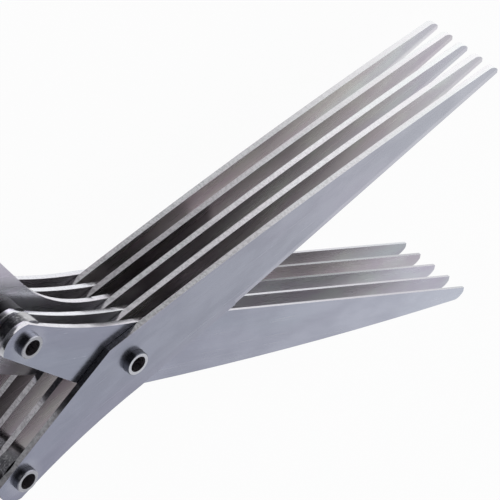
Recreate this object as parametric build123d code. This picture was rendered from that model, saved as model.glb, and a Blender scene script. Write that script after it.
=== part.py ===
from build123d import *
import os

# Herb scissors with five pairs of blades on one pivot.
# Each half has five flat stamped plates, tied behind the pivot by a hollow rivet with a turned ring
# between each two plates. The middle plate of each half is wider behind the pivot and carries the
# moulded bow handle. The pivot is a hollow rivet through all ten plates, with a washer between pairs.
#
# Z is the pivot axis, and zero height is the middle of the stack. X runs half way between the two
# halves, towards the tips. The upper half has the upper plate of every pair. It is drawn closed, with
# its blade along X, and then opened by half_opening. The lower half is the same turned over about X.

# Stack of plates, in millimetres
pair_count = 5
plate_thickness = 1.2
pair_pitch = 4.1
blade_gap = 0.1  # between the two plates of a pair
washer_gap = 0.05  # between a pivot washer and the pair below it

# Blade of a closed half, measured from the pivot axis
blade_reach = 90.4  # forward to the tip
spine_rise = 6.85  # out to the back of the blade
heel_drop = 7.6  # out to the cutting side
corner_back = 4.2  # back to the corner where the tang leaves the spine
half_opening = 17.3  # degrees that each half is opened at rest
bevel_width = 1.2
upper_bevel_depth = 0.15  # ground off the outer face at the cutting edge
lower_bevel_depth = 0.65

# Place of the tang's rivet in a closed half, back and out from the pivot axis
tang_reach = 27.94
tang_drop = 7.32

# Hollow rivets, and the rings and washers round them
tube_bore_radius = 1.65
tube_radius = 2.4
tube_chamfer = 0.15
pivot_overhang = 1.3
tang_overhang = 1.2
pivot_clearance = 0.04
rivet_clearance = 0.02
ring_radius = 4.2
washer_radius = 5.1

# Handle plates behind the pivot, back and out from the pivot axis
ring_room = 0.9  # from the lower half's handle plate to the upper half's rings when closed
handle_mouth = 42.0  # back to where the moulding starts
plate_inner_drop = 3.4  # out to the plate's inner side there
plate_outer_drop = 24.8  # out to its outer side there
tongue_length = 11.0  # of the plate inside the moulding
lock_hole_radius = 2.2

# Bow handle
handle_reach = 99.6  # back from the pivot axis to its end
handle_width = 36.5
handle_thickness = 11.0
handle_rim = 6.6
root_length = 14.0  # from the mouth to the finger hole
mouth_cover = 1.4  # moulding on each side of the plate at the mouth
stop_gap = 0.6  # between the two handles when closed
moulding_gap = 0.02

cut_overrun = 2.0

# Places on the blade's back: shares of the reach along it and of the spine's rise
spine_start_shares = (0.072, 1.0)
spine_middle_shares = (0.551, 0.77)
spine_end_shares = (0.983, 0.3)
nose_shares = (0.994, 0.2)
tip_shares = (1.0, 0.06)
# Places on the cutting side: shares of the reach and of the heel's drop
edge_end_shares = (0.998, -0.063)
edge_start_shares = (0.261, -0.8)
# Places on the tangs: shares of the rivet's reach and drop
tang_middle_shares = (-0.562, -1.202)
head_start_shares = (-1.06, -1.61)
head_back_shares = (-1.2, -1.07)
head_end_shares = (-1.191, -0.742)
flare_start_shares = (-0.15, -1.038)
flare_middle_shares = (-0.558, -1.3)
flare_end_shares = (-0.916, -2.042)
flare_far_shares = (-1.306, -3.128)
waist_shares = (-1.013, -0.456)
shoulder_middle_shares = (-0.52, 0.905)
shoulder_end_shares = (-0.82, 0.675)
recess_middle_shares = (-0.9, 0.38)
# Handle corners: shares of the handle's length behind the mouth, and of its width
stop_start_share = 0.15
outer_corner_share = 0.33
hole_corner_share = 0.12
end_round_share = 0.45
outer_round_share = 0.65
inner_round_share = 0.33
mouth_round_share = 0.1
hole_end_round_share = 0.44
hole_root_round_share = 0.36
edge_cut_share = 0.35
lock_place_shares = (0.3, 0.7)

pair_thickness = 2 * plate_thickness + blade_gap
stack_height = (pair_count - 1) * pair_pitch + pair_thickness
middle_pair = (pair_count + 1) // 2
punch_length = 2 * (plate_thickness + cut_overrun)  # of a hole's tool, centred on a plate's underside


def at(shares, along_size, across_size):
    """A point of an outline, from its shares of two named sizes."""
    return (shares[0] * along_size, shares[1] * across_size)


spine_corner = (-corner_back, spine_rise)
heel = (0, -heel_drop)
tip = at(tip_shares, blade_reach, spine_rise)
edge_start = at(edge_start_shares, blade_reach, heel_drop)
edge_end = at(edge_end_shares, blade_reach, heel_drop)
tang_rivet = (-tang_reach, -tang_drop)
plate_inner = (-handle_mouth, -plate_inner_drop)
plate_outer = (-handle_mouth, -plate_outer_drop)


def upper_level(pair):
    """Height of the underside of the upper plate in a pair, counted from the top."""
    return stack_height / 2 - (pair - 1) * pair_pitch - plate_thickness


def opened(piece):
    """The upper half's place at rest."""
    return Rot(Z=half_opening) * piece


def turned_over(piece):
    """The lower half's place, for a piece that is already in the upper half's."""
    return Rot(X=180) * piece


def blade_sides():
    """Back, rounded tip and cutting side of a plate, from the tang's corner round to the heel."""
    spine_start = at(spine_start_shares, blade_reach, spine_rise)
    spine_middle = at(spine_middle_shares, blade_reach, spine_rise)
    spine_end = at(spine_end_shares, blade_reach, spine_rise)
    nose = at(nose_shares, blade_reach, spine_rise)
    return [
        Line(spine_corner, spine_start),
        ThreePointArc(spine_start, spine_middle, spine_end),
        ThreePointArc(spine_end, nose, tip),
        Line(tip, edge_end),
        Line(edge_end, edge_start),
        Line(edge_start, heel),
    ]


def short_tang_sides():
    """Outer side, round head and inner side of a short tang, from the heel to the corner."""
    head_start = at(head_start_shares, tang_reach, tang_drop)
    head_end = at(head_end_shares, tang_reach, tang_drop)
    return [
        ThreePointArc(heel, at(tang_middle_shares, tang_reach, tang_drop), head_start),
        ThreePointArc(head_start, at(head_back_shares, tang_reach, tang_drop), head_end),
        Line(head_end, spine_corner),
    ]


def flare_sides():
    """Outer side of a handle plate, from the heel out to the handle's mouth."""
    flare_start = at(flare_start_shares, tang_reach, tang_drop)
    flare_end = at(flare_end_shares, tang_reach, tang_drop)
    flare_far = at(flare_far_shares, tang_reach, tang_drop)
    return [
        Line(heel, flare_start),
        ThreePointArc(flare_start, at(flare_middle_shares, tang_reach, tang_drop), flare_end),
        Line(flare_end, flare_far),
        Line(flare_far, plate_outer),
    ]


def tongue_sides():
    """End of a handle plate inside its moulding."""
    far = -handle_mouth - tongue_length
    inner = (far, -plate_inner_drop - mouth_cover)
    outer = (far, -plate_outer_drop + mouth_cover)
    return [Line(plate_outer, outer), Line(outer, inner), Line(inner, plate_inner)]


def narrow_inner_sides():
    """Inner side of the upper half's handle plate: along the short tangs, then in to the handle."""
    waist = at(waist_shares, tang_reach, tang_drop)
    lead = Vector(*waist) - Vector(*spine_corner)
    return [TangentArc([waist, plate_inner], tangent=lead), Line(waist, spine_corner)]


def wide_inner_sides():
    """Inner side of the lower half's handle plate, hollowed to clear the other half's rings."""
    shoulder_end = at(shoulder_end_shares, tang_reach, tang_drop)
    recess_radius = ring_radius + ring_room
    recess_end = (-tang_reach, tang_drop - recess_radius)
    return [
        Line(plate_inner, recess_end),
        ThreePointArc(recess_end, at(recess_middle_shares, tang_reach, tang_drop), shoulder_end),
        ThreePointArc(shoulder_end, at(shoulder_middle_shares, tang_reach, tang_drop), spine_corner),
    ]


def bevel_wedge(depth):
    """What the grinding takes off the top face along the cutting edge."""
    start = Vector(*edge_start, plate_thickness)
    along = Vector(*edge_end, plate_thickness) - start
    inward = Vector(-along.Y, along.X, 0)
    profile = Polyline(
        (-cut_overrun, -depth - cut_overrun * depth / bevel_width),
        (bevel_width, 0),
        (bevel_width, cut_overrun),
        (-cut_overrun, cut_overrun),
        close=True,
    )
    # The plane looks along the edge, with its X axis inward and its Y axis up
    plane = Plane(origin=start, x_dir=inward, z_dir=along)
    return extrude(plane * make_face(profile), along.length + cut_overrun)


def plate(sides, bevel_depth):
    """A stamped plate, closed, standing on zero height, with its bores and the bevel on its top face."""
    body = extrude(make_face(sides), plate_thickness)
    body -= Cylinder(tube_radius + pivot_clearance, punch_length)
    body -= Pos(*tang_rivet) * Cylinder(tube_radius + rivet_clearance, punch_length)
    return body - bevel_wedge(bevel_depth)


def short_plate(bevel_depth):
    return plate(blade_sides() + short_tang_sides(), bevel_depth)


def lock_holes(radius, height):
    """Round pillars through the tongue, where the moulding grips the handle plate."""
    x = -handle_mouth - tongue_length / 2
    span = plate_outer_drop - plate_inner_drop
    places = [(x, -plate_inner_drop - share * span) for share in lock_place_shares]
    return [Pos(*place) * Cylinder(radius, height) for place in places]


def handle_plate(inner_sides, bevel_depth):
    """A middle plate with its tongue for the handle."""
    sides = blade_sides() + flare_sides() + tongue_sides() + inner_sides
    return plate(sides, bevel_depth) - lock_holes(lock_hole_radius, punch_length)


def hollow_rivet(length):
    """A tube on the Z axis, with its middle at zero height."""
    body = Cylinder(tube_radius, length)
    body = chamfer(body.edges().filter_by(GeomType.CIRCLE), tube_chamfer)
    return body - Cylinder(tube_bore_radius, length + cut_overrun)


def turned_ring(radius, length):
    """A ring that stands on zero height and fits round a hollow rivet."""
    return extrude(Circle(radius) - Circle(tube_radius + rivet_clearance), length)


def rounded_polygon(corners, radii):
    """A face with straight sides and a round of its own at each corner."""
    face = make_face(Polyline(*corners, close=True))
    for corner, radius in zip(corners, radii):
        vertex = face.vertices().sort_by_distance((corner[0], corner[1], 0))[0]
        face = fillet(vertex, radius)
    return face


def handle_outline():
    """Outer outline of a closed upper handle, from the mouth's inner corner."""
    back = handle_reach - handle_mouth
    inner = -stop_gap / 2
    outer = inner - handle_width
    corners = [
        (-handle_mouth, -plate_inner_drop + mouth_cover),
        (-handle_mouth - stop_start_share * back, inner),
        (-handle_reach, inner),
        (-handle_reach, outer),
        (-handle_mouth - outer_corner_share * back, outer),
        (-handle_mouth, -plate_outer_drop - mouth_cover),
    ]
    mouth_round = mouth_round_share * handle_width
    end_round = end_round_share * handle_width
    outer_round = outer_round_share * handle_width
    inner_round = inner_round_share * handle_width
    radii = [mouth_round, inner_round, end_round, end_round, outer_round, mouth_round]
    return rounded_polygon(corners, radii)


def finger_hole():
    """Outline of the hole that the rim of the handle leaves."""
    root = -handle_mouth - root_length
    end = -handle_reach + handle_rim
    inner = -stop_gap / 2 - handle_rim
    outer = -stop_gap / 2 - handle_width + handle_rim
    slanted = root - hole_corner_share * (handle_reach - handle_mouth)
    shorter_side = min(inner - outer, root - end)
    end_round = hole_end_round_share * shorter_side
    root_round = hole_root_round_share * shorter_side
    corners = [(root, inner), (end, inner), (end, outer), (slanted, outer)]
    return rounded_polygon(corners, [root_round, end_round, end_round, root_round])


def pocket(plate_level):
    """Room in the moulding for a handle plate's tongue, with the pillars left in its lock holes."""
    tongue = make_face(tongue_sides() + [Line(plate_inner, plate_outer)])
    reach_out = Pos(X=cut_overrun) * tongue
    face = offset(tongue + reach_out, moulding_gap)
    room = Pos(Z=plate_level - moulding_gap) * extrude(face, plate_thickness + 2 * moulding_gap)
    return room - lock_holes(lock_hole_radius - moulding_gap, handle_thickness)


def bow_handle(plate_level):
    """A moulded handle round the tongue of the plate whose underside is at plate_level."""
    body = extrude(handle_outline() - finger_hole(), handle_thickness / 2, both=True)
    edge_cut = edge_cut_share * min(handle_rim, handle_thickness)
    return chamfer(body.faces().filter_by(Axis.Z).edges(), edge_cut) - pocket(plate_level)


def save(name, piece):
    """Write one node, as one plain solid where the piece is one."""
    solids = piece.solids()
    node = solids[0] if len(solids) == 1 else Compound(children=solids)
    node.label = name
    export_step(node, f"parts/{name}.step")


def main():
    os.makedirs("parts", exist_ok=True)
    upper_short = short_plate(upper_bevel_depth)
    lower_short = short_plate(lower_bevel_depth)
    upper_middle = handle_plate(narrow_inner_sides(), upper_bevel_depth)
    lower_middle = handle_plate(wide_inner_sides(), lower_bevel_depth)
    for pair in range(1, pair_count + 1):
        below = pair_count + 1 - pair
        upper = upper_middle if pair == middle_pair else upper_short
        lower = lower_middle if pair == middle_pair else lower_short
        save(f"upper_blade_{pair}", opened(Pos(Z=upper_level(pair)) * upper))
        save(f"lower_blade_{pair}", turned_over(opened(Pos(Z=upper_level(below)) * lower)))

    save("pivot_tube", hollow_rivet(stack_height + 2 * pivot_overhang))
    lower_plate_room = plate_thickness + blade_gap
    tang_tube = hollow_rivet(stack_height - lower_plate_room + 2 * tang_overhang)
    tang_tube = Pos(*tang_rivet, lower_plate_room / 2) * tang_tube
    save("upper_tang_tube", opened(tang_tube))
    save("lower_tang_tube", turned_over(opened(tang_tube)))

    ring_length = pair_pitch - plate_thickness
    ring = turned_ring(ring_radius, ring_length)
    washer = turned_ring(washer_radius, pair_pitch - pair_thickness - washer_gap)
    for gap in range(1, pair_count):
        below = pair_count - gap
        save(f"upper_spacer_{gap}", opened(Pos(*tang_rivet, upper_level(gap) - ring_length) * ring))
        lower_ring = Pos(*tang_rivet, upper_level(below) - ring_length) * ring
        save(f"lower_spacer_{gap}", turned_over(opened(lower_ring)))
        washer_level = stack_height / 2 - gap * pair_pitch + washer_gap
        save(f"pivot_washer_{gap}", Pos(Z=washer_level) * washer)

    handle = bow_handle(upper_level(middle_pair))
    save("upper_handle", opened(handle))
    save("lower_handle", turned_over(opened(handle)))


main()
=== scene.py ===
from math import pi, radians, tan

import bmesh
import bpy
from mathutils import Matrix, Vector


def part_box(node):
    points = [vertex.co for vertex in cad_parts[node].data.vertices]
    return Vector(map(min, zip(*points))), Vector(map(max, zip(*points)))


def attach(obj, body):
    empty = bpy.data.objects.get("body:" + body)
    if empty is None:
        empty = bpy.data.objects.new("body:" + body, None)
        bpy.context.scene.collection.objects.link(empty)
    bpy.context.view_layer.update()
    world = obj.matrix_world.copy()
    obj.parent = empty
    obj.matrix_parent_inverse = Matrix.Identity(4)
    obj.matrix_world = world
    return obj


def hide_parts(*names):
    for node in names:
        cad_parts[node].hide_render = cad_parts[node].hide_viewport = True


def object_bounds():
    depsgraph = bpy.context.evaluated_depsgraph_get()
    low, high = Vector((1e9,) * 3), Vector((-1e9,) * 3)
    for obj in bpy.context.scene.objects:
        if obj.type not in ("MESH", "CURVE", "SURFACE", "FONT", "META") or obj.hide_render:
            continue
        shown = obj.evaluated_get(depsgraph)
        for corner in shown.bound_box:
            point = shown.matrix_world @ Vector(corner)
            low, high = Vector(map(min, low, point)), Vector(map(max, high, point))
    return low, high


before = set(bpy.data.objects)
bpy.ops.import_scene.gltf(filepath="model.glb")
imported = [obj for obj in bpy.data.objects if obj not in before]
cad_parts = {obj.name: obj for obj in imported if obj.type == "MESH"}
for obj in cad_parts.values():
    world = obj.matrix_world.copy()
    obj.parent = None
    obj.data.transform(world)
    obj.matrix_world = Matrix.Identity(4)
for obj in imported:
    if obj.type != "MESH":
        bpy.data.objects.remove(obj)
cad_low, cad_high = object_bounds()

# Herb scissors: five pairs of satin steel blades on a hollow pivot rivet, with moulded bow handles.
# Lengths are in metres, apart from those that a comment gives in millimetres.
# The pivot axis is Z and the blades open to either side of X.
MM = 0.001
PAIRS = 5
HALF_OPENING = radians(17.3)
# Each half, and which way it is turned about the pivot
HALVES = {"upper": 1, "lower": -1}
# Which way the outermost faces of the stack look
OUTWARD = {1: 1, PAIRS: -1}
# The rivets, and the rings that repeat from gap to gap along them
TUBES = ("pivot_tube", "upper_tang_tube", "lower_tang_tube")
RINGS = ("upper_spacer", "lower_spacer", "pivot_washer")

# Camera, at the photograph's viewing angle
CAMERA_PLACE = Vector((-524.8, 654.2, 563.95)) * MM
CAMERA_RIGHT = Vector((0.75011, 0.07696, 0.65682))
CAMERA_UP = Vector((0.37433, 0.76937, -0.51763))
CAMERA_LENS_MM = 402.7
CAMERA_SENSOR_MM = 36
CAMERA_REACH = 20

# Studio: one soft lamp, a grey overhead and a pale floor
KEY_PLACE = (1.24, 1.04, 1.16)
KEY_SIZE = 2.3
KEY_POWER = 16
OVERHEAD_GREY = (0.62, 0.63, 0.66)
OVERHEAD_HEIGHTS = (0.05, 0.5)
# The dark end of the studio: its direction, the colour there, and how far it spreads, as cosines
DARK_SIDE = (-0.545, 0.634, 0.548)
STUDIO_DARK = (0.02, 0.02, 0.022)
DARK_SPREAD = (0.45, 0.8)
FLOOR_HALF_WIDTH = 6.0
FLOOR_DROP = 0.05 * MM
FLOOR_GREY = (0.9, 0.9, 0.9)
FLOOR_GLOW_SHARE = 0.95

# Bow handle of a closed half, in millimetres: its thickness, and the corners and rounds of its outline
# and of its finger hole
HANDLE_THICKNESS = 11.0
HANDLE_EDGE_ROUND = 2.9
HANDLE_CORNERS = [(-42, -2.0), (-50.64, -0.3), (-99.6, -0.3), (-99.6, -36.8), (-61.0, -36.8), (-42, -26.2)]
HANDLE_ROUNDS = [3.65, 12.05, 16.4, 16.4, 23.7, 3.65]
HOLE_CORNERS = [(-56, -6.9), (-93, -6.9), (-93, -30.2), (-62.9, -30.2)]
HOLE_ROUNDS = [8.4, 10.25, 10.25, 8.4]
ROUND_STEPS = 14
EDGE_STEPS = 6
# How far an edge turns, at the least, if it is one of the handle's rims and if it is sharp
RIM_ANGLE = pi / 3
SHARP_ANGLE = radians(35)

# The plates' edges, rounded by tumbling
EDGE_RADIUS = 0.07 * MM
TUMBLED_STEPS = 2
WELD_WITHIN = 0.001 * MM

# The height of a surface's normal tells what it is: a cut side below the first, a bevel below the second
EDGE_BELOW = 0.6
GROUND_BELOW = 0.97

WHITE = (1.0, 1.0, 1.0)

# Where the steel's tones are set along a half, in millimetres from the pivot, and how light it is painted
# there: painted light and shade that stand in for how the light falls along the blade
TONE_PLACES = {"upper": (-30, 0, 25, 50, 85), "lower": (-30, 0, 30, 60, 85)}
OUTER_LEVELS = (0.39, 0.44, 0.48, 0.58, 0.71)
INNER_LEVELS = {"upper": (0.48, 0.64, 0.41, 0.47, 0.84), "lower": (0.76, 0.55, 0.74, 0.54, 0.72)}
CUT_LEVELS = {"upper": (0.29, 0.345, 0.53, 0.78, 1.0), "lower": (0.90, 0.92, 0.77, 0.69, 0.66)}
# The hue behind the pivot and at the tip
OUTER_HUES = {
    "upper": ((0.97, 1.01, 1.24), (1.0, 1.01, 1.09)),
    "lower": ((0.97, 1.02, 1.24), (1.0, 1.055, 1.17)),
}
INNER_HUES = {
    "upper": ((1.0, 0.98, 1.06), (1.0, 1.03, 1.07)),
    "lower": ((1.0, 1.03, 1.12), (1.0, 1.02, 1.08)),
}
CUT_HUES = {
    "upper": ((1.0, 0.985, 1.06), (1.0, 1.01, 1.03)),
    "lower": ((1.0, 1.0, 1.06), (1.0, 1.01, 1.07)),
}
# How much lighter or darker each plate is painted at the same places, as painted light and shade for how
# light falls on it in the stack: of its inner face, and of its cut sides
PLATE_PAINTED_SHADES = {
    "upper_blade_1": ((1.0, 1.0, 1.0, 1.0, 1.0), (0.74, 1.02, 0.96, 0.94, 1.0)),
    "upper_blade_2": ((0.95, 0.92, 0.94, 0.97, 0.98), (1.02, 1.3, 1.09, 1.10, 1.0)),
    "upper_blade_3": ((0.92, 0.95, 0.87, 0.93, 0.90), (0.95, 1.17, 0.97, 1.09, 1.0)),
    "upper_blade_4": ((0.04, 1.35, 1.80, 1.0, 0.92), (1.0, 0.81, 0.75, 0.82, 1.0)),
    "upper_blade_5": ((1.3, 1.7, 1.7, 1.45, 0.98), (1.0, 1.02, 0.96, 0.78, 0.95)),
    "lower_blade_1": ((1.0, 1.0, 1.0, 1.0, 1.0), (0.93, 0.95, 0.92, 0.93, 0.94)),
    "lower_blade_2": ((0.95, 0.77, 0.80, 1.08, 0.98), (1.0, 1.08, 0.98, 0.97, 1.0)),
    "lower_blade_3": ((0.98, 0.95, 1.08, 1.0, 1.07), (1.0, 0.88, 0.04, 0.50, 0.95)),
    "lower_blade_4": ((1.0, 0.8, 1.25, 1.03, 0.95), (1.0, 0.97, 0.2, 0.65, 0.84)),
    "lower_blade_5": ((1.0, 1.0, 1.15, 0.83, 0.78), (1.0, 0.93, 1.0, 1.0, 1.1)),
}
# How much lighter or darker the outer faces of each half are painted at the same places, as painted light
# and shade
OUTER_PAINTED_SHADES = {"upper": (1.0, 1.0, 0.99, 1.01, 1.0), "lower": (1.0, 1.04, 1.04, 1.05, 1.02)}
# Where a painted reflection of the neighbouring plate starts on an inner face, where it is full, and how
# light the painted shade is before that
NEIGHBOUR_REFLECTIONS = {
    "upper_blade_4": (29 * MM, 31.5 * MM, 0.37),
    "upper_blade_5": (17 * MM, 25 * MM, 0.72),
}
INNER_TINTS = {
    "upper_blade_2": (1.0, 0.985, 0.95),
    "upper_blade_4": (1.0, 0.95, 0.93),
    "upper_blade_5": (1.0, 1.0, 0.97),
    "lower_blade_4": (1.0, 0.95, 0.93),
}
# What the inner faces turn to at their tips, and between which places
TIP_TINT = (0.985, 1.0, 1.045)
TIP_REACH = (66 * MM, 86 * MM)
# Where painted shade starts to darken the cut sides behind the pivot, where it is full, and how light they
# then are
HEAD_PAINTED_SHADES = {
    "upper_blade_1": (-27 * MM, -31 * MM, 0.78),
    "lower_blade_1": (-32.9 * MM, -33.7 * MM, 0.45),
    "lower_blade_2": (-30.2 * MM, -31.2 * MM, 0.2),
}
# The pale halo of painted light round a tang rivet: its inner and outer radius, and how pale it is
PAINTED_HALO_REACH = (2.6 * MM, 4.8 * MM)
PAINTED_HALO_TINT = (1.2, 1.19, 1.14)

# Each grain below is noise: its waves to the metre along a half, across it and upwards, and its detail.
# Its values lie round a middle one, and a range gives the two that become 0 and 1.
GRAIN_MIDDLE = 0.5

# Patches that the grinding leaves, large and small
CLOUD_GRAIN = ((25, 90, 900), 2.0)
CLOUD_RANGE = (0.35, 0.65)
CLOUD_TINTS = ((0.985, 0.955, 0.96), (1.0, 1.0, 0.985))
CUT_CLOUD_TINTS = ((1.0, 0.97, 0.98), (0.985, 1.0, 0.99))
MOTTLE_GRAIN = ((120, 240, 900), 4.0)
MOTTLE_RANGE = (0.3, 0.7)
OUTER_MOTTLE = ((0.94, 0.94, 0.945), (1.06, 1.06, 1.055))
INNER_MOTTLE = ((0.955, 0.89, 0.915), (1.045, 1.055, 0.995))

# Brushing along the blade, in fine hairs and broad strokes: how pale its streaks are, how much it changes
# the roughness, and how deep it is as a share of the torn sides' depth
HAIR_GRAIN = ((90, 3600, 400), 3.0)
STROKE_GRAIN = ((14, 700, 60), 2.0)
STREAK_SHARE = 0.12
HAIR_ROUGHNESS = 0.12
STROKE_ROUGHNESS = 0.08
HAIR_DEPTH_SHARE = 0.3
STEEL_RELIEF = 0.004 * MM

# The sheared sides' torn grain: how strong it is on each half, and how it fades on the way to the tip
TORN_GRAIN = ((2400, 2400, 1500), 3.0)
TORN_RANGE = (0.42, 0.62)
TORN_GREY = (0.70, 0.70, 0.70)
TORN_STRENGTH = {"upper": 1.0, "lower": 0.3}
TORN_FADE = 0.9
TORN_REACH = 78 * MM

# How rough the satin is on the outer faces, the cut sides and the inner faces
OUTER_SATIN = 0.24
CUT_SATIN = 0.20
INNER_SATIN = 0.29
# Colour of the ground bevels and rounded edges: partly the fresher ground steel, partly a painted highlight
GROUND_TONE_AND_HIGHLIGHT = (0.68, 0.70, 0.74)
STEEL_METAL = 0.96

# The direction of the side where the rings are painted a highlight and the rivets painted shade, or on some
# a pale painted highlight
PAINTED_SIDE = (0.758, 0.652, 0.0)

# Rivets: dark outside, partly their blue-black finish and partly painted shade, and painted black towards
# that side as painted shade, where some have a pale painted highlight instead
TUBE_DARK = (0.11, 0.115, 0.14)
TUBE_PAINTED_BLACK = (0.035, 0.035, 0.042)
TUBE_PAINTED_BLACK_RANGE = (-0.5, 0.6)
TUBE_PAINTED_HIGHLIGHT = (0.42, 0.43, 0.46)
TUBE_HIGHLIGHT_RANGE = (0.35, 0.85)
HIGHLIGHTED_TUBES = ("lower_tang_tube",)
TUBE_ROUGHNESS = 0.28
DRAWN_GRAIN = ((1500, 1500, 300), 3.0)
DRAWN_SHARE = 0.08
DRAWN_ROUGHNESS = 0.2
# Their bores, painted paler as painted light inside them, and the fine rings that turning leaves on their
# ends
BORE_WITHIN = 2.0 * MM
BORE_PAINTED_GREY = (0.5, 0.47, 0.5)
TURNING_SCALE = 9000.0
TURNING_DETAIL = 2.0
RIM_DARK = (0.42, 0.42, 0.44)
RIM_PALE = (0.66, 0.66, 0.69)
# How light each rivet's end is painted, and the tone of the chamfer round it, as painted light and shade
# that differ from rivet to rivet
RIM_PAINTED_LEVELS = {"pivot_tube": 1.35, "upper_tang_tube": 0.95, "lower_tang_tube": 0.9}
CHAMFER_PAINTED_TONES = {
    "pivot_tube": (0.05, 0.058, 0.08),
    "upper_tang_tube": (0.25, 0.25, 0.29),
    "lower_tang_tube": (0.36, 0.36, 0.40),
}

# Turned rings, dark partly from the bar and partly as painted shade, greyer in patches and specks, and
# painted bright on one side as a painted highlight
RING_DARK = (0.065, 0.065, 0.075)
RING_GREY = (0.34, 0.34, 0.36)
RING_HIGHLIGHT = (0.60, 0.60, 0.62)
RING_ROUGHNESS = 0.30
LATHE_GRAIN = ((60, 60, 5000), 3.0)
LATHE_LEVEL = 0.4
LATHE_SHARE = 0.2
LATHE_RELIEF = 0.01 * MM
PATCH_GRAIN = ((380, 380, 520), 4.0)
PATCH_RANGE = (0.42, 0.85)
PATCH_ROUGHNESS = 0.2
SPECK_GRAIN = ((2300, 2300, 2300), 3.0)
SPECK_RANGE = (0.5, 0.68)
SPECK_SHARE = 0.5
# How light each ring is painted, as painted light and shade, and how far it turns to the painted side where
# its painted highlight starts and where it is full
RING_PAINTED_LIGHT_AND_SHADE = {
    "lower_spacer_1": (1.2, 0.67, 0.86),
    "lower_spacer_2": (0.10, 0.5, 1.0),
    "upper_spacer_1": (0.7, 0.0, 1.0),
}
COMMON_RING_PAINTED_LIGHT_AND_SHADE = (1.0, 0.5, 1.0)

# Handles: matt plastic with an eroded grain and a parting line
PLASTIC_DARK = (0.022, 0.023, 0.026)
PLASTIC_PALE = (0.040, 0.041, 0.045)
PLASTIC_ROUGHNESS = 0.46
CLOUD_ROUGHNESS = 0.16
PLASTIC_CLOUD = ((90, 90, 90), 2.0)
ERODED_GRAIN = ((2600, 2600, 2600), 3.0)
PLASTIC_RELIEF = 0.03 * MM
PARTING_WIDTH = 0.22 * MM
PARTING_HEIGHT = 2.5


class Signal:
    """One output socket. Arithmetic on it adds Math nodes to its finish."""

    def __init__(self, finish, socket):
        self.finish = finish
        self.socket = socket

    def math(self, operation, first, second=0.0):
        return self.finish.add("ShaderNodeMath", {"operation": operation}, {0: first, 1: second})

    def __add__(self, other):
        return self.math("ADD", self, other)

    def __sub__(self, other):
        return self.math("SUBTRACT", self, other)

    def __rsub__(self, other):
        return self.math("SUBTRACT", other, self)

    def __mul__(self, other):
        return self.math("MULTIPLY", self, other)

    def __gt__(self, other):
        return self.math("GREATER_THAN", self, other)

    def __lt__(self, other):
        return self.math("LESS_THAN", self, other)

    __radd__ = __add__
    __rmul__ = __mul__

    def size(self):
        """The value without its sign."""
        return self.math("ABSOLUTE", self)

    def at_least(self, other):
        """The larger of the two values."""
        return self.math("MAXIMUM", self, other)


class Finish:
    """A node tree being written, for a material or for the world."""

    def __init__(self, tree):
        self.tree = tree
        tree.nodes.clear()

    def add(self, kind, settings=None, sockets=None, out=0):
        """A node of that kind, set, then fed with values or signals. Gives one of its outputs."""
        node = self.tree.nodes.new(kind)
        for name, value in (settings or {}).items():
            if name == "stops":
                set_stops(node.color_ramp, value)
            else:
                setattr(node, name, value)
        for name, value in (sockets or {}).items():
            if isinstance(value, Signal):
                self.tree.links.new(value.socket, node.inputs[name])
            elif value is not None:
                node.inputs[name].default_value = with_alpha(node.inputs[name], value)
        return Signal(self, node.outputs[out]) if len(node.outputs) else None

    def mix(self, amount, first, second):
        """Colour that goes from first to second, in sockets 6 and 7, as amount goes from 0 to 1."""
        return self.add("ShaderNodeMix", {"data_type": "RGBA"}, {0: amount, 6: first, 7: second}, out=2)

    def tinted(self, colour, tint):
        """Colour multiplied by a tint."""
        settings = {"data_type": "RGBA", "blend_type": "MULTIPLY"}
        return self.add("ShaderNodeMix", settings, {0: 1.0, 6: colour, 7: tint}, out=2)

    def mix_values(self, amount, first, second):
        """Value that goes from first to second, in sockets 2 and 3, as amount goes from 0 to 1."""
        return self.add("ShaderNodeMix", {"data_type": "FLOAT"}, {0: amount, 2: first, 3: second})

    def vector_math(self, operation, first, second=None, out="Value"):
        """Arithmetic on whole vectors."""
        return self.add("ShaderNodeVectorMath", {"operation": operation}, {0: first, 1: second}, out)

    def coordinate(self, vector, axis):
        """One coordinate of a vector."""
        return self.add("ShaderNodeSeparateXYZ", {}, {"Vector": vector}, axis)

    def smooth_step(self, value, low, high):
        """0 at low, 1 at high, eased between."""
        sockets = {"Value": value, "From Min": low, "From Max": high}
        return self.add("ShaderNodeMapRange", {"interpolation_type": "SMOOTHSTEP"}, sockets)

    def linear_step(self, value, low, high):
        """0 at low, 1 at high, even between."""
        return self.add("ShaderNodeMapRange", {}, {"Value": value, "From Min": low, "From Max": high})


def with_alpha(socket, value):
    """A colour with its alpha added where the socket wants one."""
    if socket.type == "RGBA" and len(value) == 3:
        return (*value, 1.0)
    return value


def set_stops(ramp, stops):
    """Places the stops of a colour ramp."""
    while len(ramp.elements) < len(stops):
        ramp.elements.new(1.0)
    for element, (place, colour) in zip(ramp.elements, stops):
        element.position = place
        element.color = (*colour, 1.0)


def grey(level):
    """A colour of three equal parts."""
    return (level, level, level)


def new_material(name):
    """A material, and the empty node tree that its finish is written in."""
    material = bpy.data.materials.new(name)
    material.use_nodes = True
    return material, Finish(material.node_tree)


def surface(finish, colour, roughness, metallic, relief, depth):
    """The closing shader of a material, with its relief as a bump."""
    normal = finish.add("ShaderNodeBump", {}, {"Distance": depth, "Height": relief})
    sockets = {"Base Color": colour, "Roughness": roughness, "Metallic": metallic, "Normal": normal}
    shader = finish.add("ShaderNodeBsdfPrincipled", {}, sockets)
    finish.add("ShaderNodeOutputMaterial", {}, {"Surface": shader})


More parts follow.
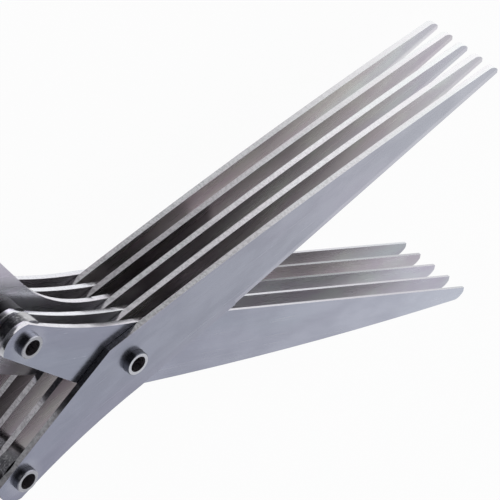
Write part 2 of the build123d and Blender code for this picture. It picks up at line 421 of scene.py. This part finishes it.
def object_place(finish, turn=0.0, centre=(0.0, 0.0, 0.0), stretch=(1.0, 1.0, 1.0)):
    """Object coordinates, turned about Z to lie along a half, then stretched."""
    place = finish.add("ShaderNodeTexCoord", out="Object")
    sockets = {"Vector": place, "Location": centre, "Rotation": (0.0, 0.0, turn)}
    place = finish.add("ShaderNodeMapping", {"vector_type": "TEXTURE"}, sockets)
    return finish.add("ShaderNodeMapping", {}, {"Vector": place, "Scale": stretch})


def noise(finish, grain, turn=0.0):
    """The noise of a grain, which lies along a half where it is turned."""
    stretch, detail = grain
    place = object_place(finish, turn, stretch=stretch)
    return finish.add("ShaderNodeTexNoise", {}, {"Vector": place, "Scale": 1.0, "Detail": detail})


def facing(finish):
    """The direction that the surface faces."""
    return finish.add("ShaderNodeNewGeometry", out="Normal")


def facing_up(finish):
    """How far the surface's normal leans to the pivot axis, from 0 to 1."""
    return finish.coordinate(facing(finish), "Z").size()


def toward_painted_side(finish):
    """How far the surface turns to the side where rings are painted a highlight and rivets painted shade,
    from -1 to 1.
    """
    return finish.vector_math("DOT_PRODUCT", facing(finish), PAINTED_SIDE)


def middle_of(node_name):
    """The middle of a CAD node's box."""
    low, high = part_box(node_name)
    return (Vector(low) + Vector(high)) / 2


def flat_distance(finish, centre):
    """Distance from a line along Z through the centre."""
    place = object_place(finish, centre=centre)
    across = finish.vector_math("MULTIPLY", place, (1, 1, 0), out="Vector")
    return finish.vector_math("LENGTH", across)


def tones_along(finish, x, half, levels, shades, hues):
    """Colour that changes along a half, through the levels set at the places in TONE_PLACES, painted
    lighter and darker as light and shade fall along it.
    """
    places = TONE_PLACES[half]
    reach = places[-1] - places[0]
    stops = []
    for place, level, shade in zip(places, levels, shades):
        share = (place - places[0]) / reach
        hue = Vector(hues[0]).lerp(Vector(hues[1]), share)
        stops.append((share, hue * level * shade))
    along = finish.linear_step(x, places[0] * MM, places[-1] * MM)
    return finish.add("ShaderNodeValToRGB", {"stops": stops}, {"Fac": along}, out="Color")


def inner_face(finish, name, half, x, mottle):
    """Colour of a face inside the stack, painted lighter and darker as light and shade fall on it, with a
    painted reflection of its neighbour on some plates.
    """
    colour = tones_along(finish, x, half, INNER_LEVELS[half], PLATE_PAINTED_SHADES[name][0], INNER_HUES[half])
    colour = finish.tinted(colour, finish.mix(mottle, *INNER_MOTTLE))
    colour = finish.tinted(colour, INNER_TINTS.get(name, WHITE))
    tip = finish.smooth_step(x, *TIP_REACH)
    colour = finish.tinted(colour, finish.mix(tip, WHITE, TIP_TINT))
    # Painted reflection of the neighbouring plate, with painted shade on the face before it
    if name in NEIGHBOUR_REFLECTIONS:
        start, end, level = NEIGHBOUR_REFLECTIONS[name]
        reflection = finish.smooth_step(x, start, end)
        colour = finish.tinted(colour, finish.mix(reflection, grey(level), WHITE))
    return colour


def outer_face(finish, half, x, mottle):
    """Colour of the face that an outermost plate turns to the world, painted lighter and darker along the
    half as light and shade, with a pale halo of painted light round its tang rivet.
    """
    colour = tones_along(finish, x, half, OUTER_LEVELS, OUTER_PAINTED_SHADES[half], OUTER_HUES[half])
    radius = flat_distance(finish, middle_of(f"{half}_tang_tube"))
    # Pale halo of painted light round the tang rivet
    halo = 1.0 - finish.smooth_step(radius, *PAINTED_HALO_REACH)
    colour = finish.tinted(colour, finish.mix(halo, WHITE, PAINTED_HALO_TINT))
    return finish.tinted(colour, finish.mix(mottle, *OUTER_MOTTLE))


def cut_side(finish, name, half, x, cloud, torn):
    """Colour of the sheared sides, painted lighter and darker along the half as light and shade, with torn
    grains and painted shade on some heads.
    """
    colour = tones_along(finish, x, half, CUT_LEVELS[half], PLATE_PAINTED_SHADES[name][1], CUT_HUES[half])
    colour = finish.tinted(colour, finish.mix(cloud, *CUT_CLOUD_TINTS))
    # Painted shade on the cut sides of the head behind the pivot
    if name in HEAD_PAINTED_SHADES:
        start, end, level = HEAD_PAINTED_SHADES[name]
        head_shade = 1.0 - finish.smooth_step(x, end, start)
        colour = finish.tinted(colour, finish.mix(head_shade, WHITE, grey(level)))
    return finish.mix(torn, colour, finish.tinted(colour, TORN_GREY))


def blade_steel(name, half, pair):
    """Satin stamped sheet, with a fine grain along the blade, sheared sides and a ground bevel."""
    material, finish = new_material(f"{name}_steel")
    turn = HALVES[half] * HALF_OPENING
    x = finish.coordinate(object_place(finish, turn), "X")
    lean = facing_up(finish)
    edge = lean < EDGE_BELOW
    ground = (lean < GROUND_BELOW) - edge
    cloud = finish.smooth_step(noise(finish, CLOUD_GRAIN, turn), *CLOUD_RANGE)
    mottle = finish.smooth_step(noise(finish, MOTTLE_GRAIN, turn), *MOTTLE_RANGE)
    hairs = noise(finish, HAIR_GRAIN, turn)
    strokes = noise(finish, STROKE_GRAIN, turn)

    face = inner_face(finish, name, half, x, mottle)
    satin = INNER_SATIN
    if pair in OUTWARD:
        outside = finish.coordinate(facing(finish), "Z") * OUTWARD[pair] > EDGE_BELOW
        face = finish.mix(outside, face, outer_face(finish, half, x, mottle))
        satin = INNER_SATIN + outside * (OUTER_SATIN - INNER_SATIN)
    face = finish.tinted(face, finish.mix(cloud, *CLOUD_TINTS))
    # Ground bevels and rounded edges painted brighter, partly fresher ground steel and partly a painted
    # highlight
    face = finish.mix(ground, face, GROUND_TONE_AND_HIGHLIGHT)
    streaks = (hairs + strokes - 2 * GRAIN_MIDDLE).size() * STREAK_SHARE
    face = finish.mix(streaks, face, WHITE)

    grains = noise(finish, TORN_GRAIN, turn)
    fade = 1.0 - TORN_FADE * finish.linear_step(x, 0.0, TORN_REACH)
    torn = finish.smooth_step(grains, *TORN_RANGE) * fade * TORN_STRENGTH[half]
    side = cut_side(finish, name, half, x, cloud, torn)

    brushing = (hairs - GRAIN_MIDDLE) * HAIR_ROUGHNESS + (strokes - GRAIN_MIDDLE) * STROKE_ROUGHNESS
    roughness = satin + brushing + edge * (CUT_SATIN - satin)
    relief = finish.mix_values(edge, hairs * HAIR_DEPTH_SHARE, grains * fade)
    surface(finish, finish.mix(edge, face, side), roughness, STEEL_METAL, relief, STEEL_RELIEF)
    return material


def rivet_steel(name):
    """Drawn tube: blue-black outside and partly painted shade, painted paler in its bore as painted light,
    with ends that were faced bright and painted lighter or darker rivet by rivet.
    """
    material, finish = new_material(f"{name}_steel")
    radius = flat_distance(finish, middle_of(name))
    lean = facing_up(finish)
    end = lean > GROUND_BELOW
    chamfer = (lean > EDGE_BELOW) - end
    drawn = noise(finish, DRAWN_GRAIN)
    sockets = {"W": radius, "Scale": TURNING_SCALE, "Detail": TURNING_DETAIL}
    turning = finish.add("ShaderNodeTexNoise", {"noise_dimensions": "1D"}, sockets)

    # Painted shade on one side of the tube, and on some tubes a painted highlight there instead
    shaded = finish.smooth_step(toward_painted_side(finish), *TUBE_PAINTED_BLACK_RANGE)
    outside = finish.mix(shaded, TUBE_DARK, TUBE_PAINTED_BLACK)
    if name in HIGHLIGHTED_TUBES:
        highlight = finish.smooth_step(toward_painted_side(finish), *TUBE_HIGHLIGHT_RANGE)
        outside = finish.mix(highlight, outside, TUBE_PAINTED_HIGHLIGHT)
    # The bore painted paler, as painted light inside it
    tube = finish.mix(radius < BORE_WITHIN, outside, BORE_PAINTED_GREY)
    # Rivet ends and chamfers painted lighter or darker, as painted light and shade
    rim = finish.tinted(finish.mix(turning, RIM_DARK, RIM_PALE), grey(RIM_PAINTED_LEVELS[name]))
    colour = finish.mix(chamfer, finish.mix(end, tube, rim), CHAMFER_PAINTED_TONES[name])
    colour = finish.mix(drawn * DRAWN_SHARE, colour, WHITE)

    roughness = TUBE_ROUGHNESS + (drawn - GRAIN_MIDDLE) * DRAWN_ROUGHNESS
    relief = finish.mix_values(end, drawn, turning)
    surface(finish, colour, roughness, STEEL_METAL, relief, STEEL_RELIEF)
    return material


def ring_steel(name):
    """Turned ring, dull from the bar and partly painted shade, with a painted highlight on one side and
    fine lathe lines round it.
    """
    material, finish = new_material(f"{name}_steel")
    shade, lit_from, lit_fully = RING_PAINTED_LIGHT_AND_SHADE.get(name, COMMON_RING_PAINTED_LIGHT_AND_SHADE)
    lines = noise(finish, LATHE_GRAIN)
    patch = noise(finish, PATCH_GRAIN)
    speck = finish.smooth_step(noise(finish, SPECK_GRAIN), *SPECK_RANGE)
    dull = finish.mix(finish.smooth_step(patch, *PATCH_RANGE), RING_DARK, RING_GREY)
    dull = finish.mix(speck * SPECK_SHARE, dull, RING_GREY)
    bright = finish.tinted(RING_HIGHLIGHT, finish.mix(speck, TORN_GREY, WHITE))
    # Painted highlight on one side of the ring
    lit = finish.smooth_step(toward_painted_side(finish), lit_from, lit_fully)
    colour = finish.mix((lines - LATHE_LEVEL) * LATHE_SHARE, finish.mix(lit, dull, bright), WHITE)
    # Painted light or painted shade over the whole ring
    colour = finish.tinted(colour, grey(shade))
    roughness = RING_ROUGHNESS + (patch - GRAIN_MIDDLE) * PATCH_ROUGHNESS
    surface(finish, colour, roughness, STEEL_METAL, lines, LATHE_RELIEF)
    return material


def handle_plastic():
    """Matt moulded plastic with a fine eroded grain, and the mould's parting line round the middle."""
    material, finish = new_material("handle_plastic_look")
    cloud = noise(finish, PLASTIC_CLOUD)
    colour = finish.mix(cloud, PLASTIC_DARK, PLASTIC_PALE)
    height = finish.coordinate(object_place(finish), "Z").size()
    parting = 1.0 - finish.smooth_step(height, 0.0, PARTING_WIDTH)
    relief = noise(finish, ERODED_GRAIN) + parting * PARTING_HEIGHT
    roughness = PLASTIC_ROUGHNESS + (cloud - GRAIN_MIDDLE) * CLOUD_ROUGHNESS
    surface(finish, colour, roughness, 0.0, relief, PLASTIC_RELIEF)
    return material


def dress(node_name, material):
    """Gives a CAD node its finish."""
    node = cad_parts[node_name]
    node.data.materials.clear()
    node.data.materials.append(material)


def soften_edges(node_name):
    """Rounds a plate's edges a little, as tumbling does after stamping."""
    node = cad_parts[node_name]
    node.modifiers.new("joined", "WELD").merge_threshold = WELD_WITHIN
    tumbled = node.modifiers.new("tumbled", "BEVEL")
    tumbled.width = EDGE_RADIUS
    tumbled.segments = TUMBLED_STEPS
    tumbled.limit_method = "ANGLE"
    tumbled.angle_limit = SHARP_ANGLE
    tumbled.harden_normals = True


def dress_halves():
    """Finishes the plates, the rivets and the rings, and adds the two handles."""
    for half in HALVES:
        for pair in range(1, PAIRS + 1):
            name = f"{half}_blade_{pair}"
            dress(name, blade_steel(name, half, pair))
            soften_edges(name)
    for name in TUBES:
        dress(name, rivet_steel(name))
    for gap in range(1, PAIRS):
        for ring in RINGS:
            name = f"{ring}_{gap}"
            dress(name, ring_steel(name))
    plastic = handle_plastic()
    for half in HALVES:
        bow_handle(half, plastic)


def rounded_face(mesh, corners, rounds):
    """A flat face with a round of its own at each corner, from places in millimetres."""
    places = [Vector(corner) * MM for corner in corners]
    points = [mesh.verts.new((*place, 0)) for place in places]
    mesh.faces.new(points)
    for index, point in enumerate(points):
        before = places[index - 1] - places[index]
        after = places[(index + 1) % len(places)] - places[index]
        reach = rounds[index] * MM / tan(before.angle(after) / 2)
        bmesh.ops.bevel(mesh, geom=[point], offset=reach, offset_type="OFFSET", segments=ROUND_STEPS,
                        profile=0.5, affect="VERTICES", material=-1)


def handle_ring():
    """The handle's outline as a flat ring round its finger hole, of two large faces that meet on a line."""
    mesh = bmesh.new()
    rounded_face(mesh, HANDLE_CORNERS, HANDLE_ROUNDS)
    rounded_face(mesh, HOLE_CORNERS, HOLE_ROUNDS)
    bmesh.ops.delete(mesh, geom=mesh.faces[:], context="FACES_ONLY")
    bmesh.ops.triangle_fill(mesh, edges=mesh.edges[:], normal=(0, 0, 1))
    middle = sum(corner[1] for corner in HOLE_CORNERS) / len(HOLE_CORNERS) * MM
    parts = mesh.verts[:] + mesh.edges[:] + mesh.faces[:]
    halved = bmesh.ops.bisect_plane(mesh, geom=parts, plane_co=(0, middle, 0), plane_no=(0, 1, 0))
    line = halved["geom_cut"]
    edges = [edge for edge in mesh.edges if len(edge.link_faces) == 2 and edge not in line]
    bmesh.ops.dissolve_edges(mesh, edges=edges, use_verts=False)
    points = [point for point in mesh.verts if len(point.link_edges) == 2 and point in line]
    bmesh.ops.dissolve_verts(mesh, verts=points)
    return mesh


def bow_handle(half, material):
    """Moulded handle: the flat ring given its thickness and round edges, and turned to lie on its half."""
    mesh = handle_ring()
    grown = bmesh.ops.extrude_face_region(mesh, geom=mesh.faces[:])["geom"]
    top = [part for part in grown if isinstance(part, bmesh.types.BMVert)]
    bmesh.ops.translate(mesh, verts=top, vec=(0, 0, HANDLE_THICKNESS * MM))
    bmesh.ops.translate(mesh, verts=mesh.verts, vec=(0, 0, -HANDLE_THICKNESS / 2 * MM))
    bmesh.ops.recalc_face_normals(mesh, faces=mesh.faces)
    rims = [edge for edge in mesh.edges if edge.calc_face_angle(0) > RIM_ANGLE]
    bmesh.ops.bevel(mesh, geom=rims, offset=HANDLE_EDGE_ROUND * MM, offset_type="OFFSET",
                    segments=EDGE_STEPS, profile=0.5, affect="EDGES", material=-1)
    opening = Matrix.Rotation(HALF_OPENING, 3, "Z")
    bmesh.ops.rotate(mesh, verts=mesh.verts, cent=(0, 0, 0), matrix=opening)
    if HALVES[half] < 0:
        bmesh.ops.rotate(mesh, verts=mesh.verts, cent=(0, 0, 0), matrix=Matrix.Rotation(pi, 3, "X"))
    handle = new_piece(f"{half}_bow_handle", mesh, material)
    handle.modifiers.new("flats kept flat", "WEIGHTED_NORMAL").keep_sharp = True
    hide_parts(f"{half}_handle")
    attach(handle, f"{half}_half")


def new_piece(name, mesh, material):
    """An object of the finished mesh, smooth but for its sharp edges."""
    data = bpy.data.meshes.new(name)
    mesh.to_mesh(data)
    mesh.free()
    data.shade_smooth()
    data.set_sharp_from_angle(angle=SHARP_ANGLE)
    data.materials.append(material)
    return put_in_scene(name, data)


def put_in_scene(name, data):
    """An object of that mesh, lamp or camera, linked to the scene."""
    thing = bpy.data.objects.new(name, data)
    bpy.context.scene.collection.objects.link(thing)
    return thing


def studio_world():
    """White to the camera. Other rays see white round and below, a soft grey overhead and a dark end."""
    world = bpy.data.worlds.new("studio")
    bpy.context.scene.world = world
    world.use_nodes = True
    finish = Finish(world.node_tree)
    direction = finish.add("ShaderNodeTexCoord", out="Generated")
    overhead = finish.smooth_step(finish.coordinate(direction, "Z"), *OVERHEAD_HEIGHTS)
    light = finish.mix(overhead, WHITE, OVERHEAD_GREY)
    dark = finish.smooth_step(finish.vector_math("DOT_PRODUCT", direction, DARK_SIDE), *DARK_SPREAD)
    light = finish.mix(dark, light, STUDIO_DARK)
    camera_ray = finish.add("ShaderNodeLightPath", out="Is Camera Ray")
    colour = finish.mix(camera_ray, light, WHITE)
    shader = finish.add("ShaderNodeBackground", {}, {"Color": colour, "Strength": 1.0})
    finish.add("ShaderNodeOutputWorld", {}, {"Surface": shader})


def pale_floor():
    """A wide pale floor that keeps a faint shadow and otherwise looks white."""
    mesh = bmesh.new()
    bmesh.ops.create_grid(mesh, x_segments=1, y_segments=1, size=FLOOR_HALF_WIDTH)
    bmesh.ops.translate(mesh, verts=mesh.verts, vec=(0, 0, cad_low.z - FLOOR_DROP))
    data = bpy.data.meshes.new("floor")
    mesh.to_mesh(data)
    mesh.free()
    material, finish = new_material("floor_white")
    matt = finish.add("ShaderNodeBsdfDiffuse", {}, {"Color": FLOOR_GREY})
    glow = finish.add("ShaderNodeEmission", {}, {"Color": WHITE, "Strength": 1.0})
    seen = finish.add("ShaderNodeLightPath", out="Is Camera Ray")
    mirrored = finish.add("ShaderNodeLightPath", out="Is Glossy Ray")
    passed = finish.add("ShaderNodeLightPath", out="Is Transmission Ray")
    share = seen.at_least(mirrored).at_least(passed) * FLOOR_GLOW_SHARE
    shader = finish.add("ShaderNodeMixShader", {}, {0: share, 1: matt, 2: glow})
    finish.add("ShaderNodeOutputMaterial", {}, {"Surface": shader})
    data.materials.append(material)
    put_in_scene("floor", data)


def key_lamp():
    """A square soft lamp aimed at the pivot."""
    light = bpy.data.lights.new("key", "AREA")
    light.size = KEY_SIZE
    light.energy = KEY_POWER
    lamp = put_in_scene("key", light)
    lamp.location = KEY_PLACE
    lamp.rotation_mode = "QUATERNION"
    lamp.rotation_quaternion = (-Vector(KEY_PLACE)).to_track_quat("-Z", "Y")


def photo_camera():
    """The camera, turned so that its own axes lie along those that the photograph gives."""
    back = CAMERA_RIGHT.cross(CAMERA_UP).normalized()
    up = back.cross(CAMERA_RIGHT).normalized()
    turn = Matrix((CAMERA_RIGHT.normalized(), up, back)).transposed()
    data = bpy.data.cameras.new("camera")
    data.sensor_width = CAMERA_SENSOR_MM
    data.lens = CAMERA_LENS_MM
    data.clip_end = CAMERA_REACH
    camera = put_in_scene("camera", data)
    camera.matrix_world = Matrix.Translation(CAMERA_PLACE) @ turn.to_4x4()
    bpy.context.scene.camera = camera


photo_camera()
studio_world()
pale_floor()
key_lamp()
dress_halves()

bpy.context.scene.view_settings.view_transform = "Standard"
